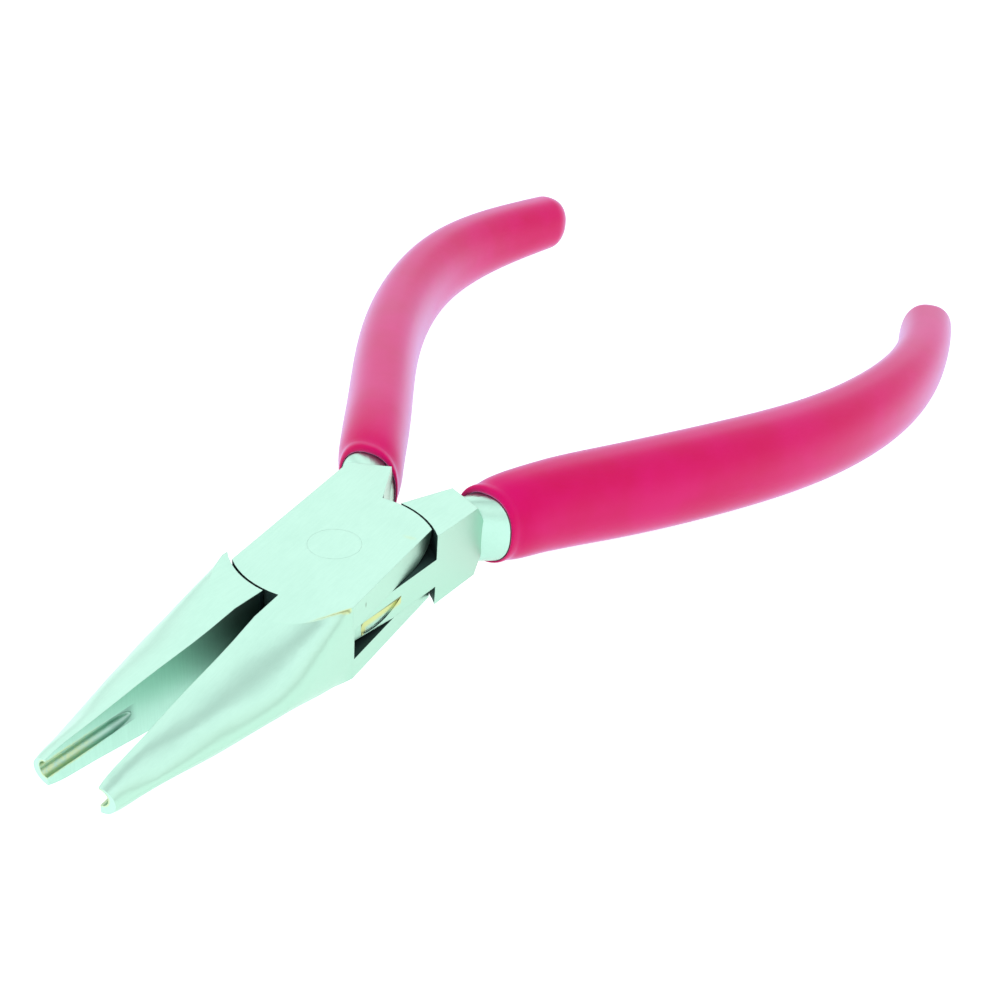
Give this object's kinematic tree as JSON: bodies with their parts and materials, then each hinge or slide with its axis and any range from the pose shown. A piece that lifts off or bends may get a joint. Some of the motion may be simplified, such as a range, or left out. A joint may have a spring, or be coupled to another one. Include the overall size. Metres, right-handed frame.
{
  "type": "crimping pliers",
  "caption": "Box-joint crimping pliers with tapered half-round jaws, a lengthwise crimping groove at the tips and dip-moulded vinyl grips on bowed handles.",
  "frame": {"origin": "on the pivot axis at the underside of the joint, the pliers lying flat", "axes": "+Z along the pivot axis, up out of the joint; +Y from the jaw tips to the handle ends; X = 0 halves the angle between the jaws"},
  "size_m": [0.0689, 0.1285, 0.0104],
  "materials": {
    "forged_steel": "satin ground, brushed across the jaw faces",
    "rivet_steel": "ground flush",
    "grip_vinyl": "glossy dip-moulded"
  },
  "bodies": {
    "box_body": {"box_half": "forged_steel", "pivot_pin": "rivet_steel", "box_half_grip": "grip_vinyl"},
    "tongue_body": {"tongue_half": "forged_steel", "tongue_half_grip": "grip_vinyl"}
  },
  "joints": [
    {"name": "jaw_pivot", "type": "hinge", "parent": "box_body", "child": "tongue_body", "pos_m": [0, 0, 0.0037], "axis": [0, 0, 1], "range_deg": [-20, 8.9]}
  ]
}
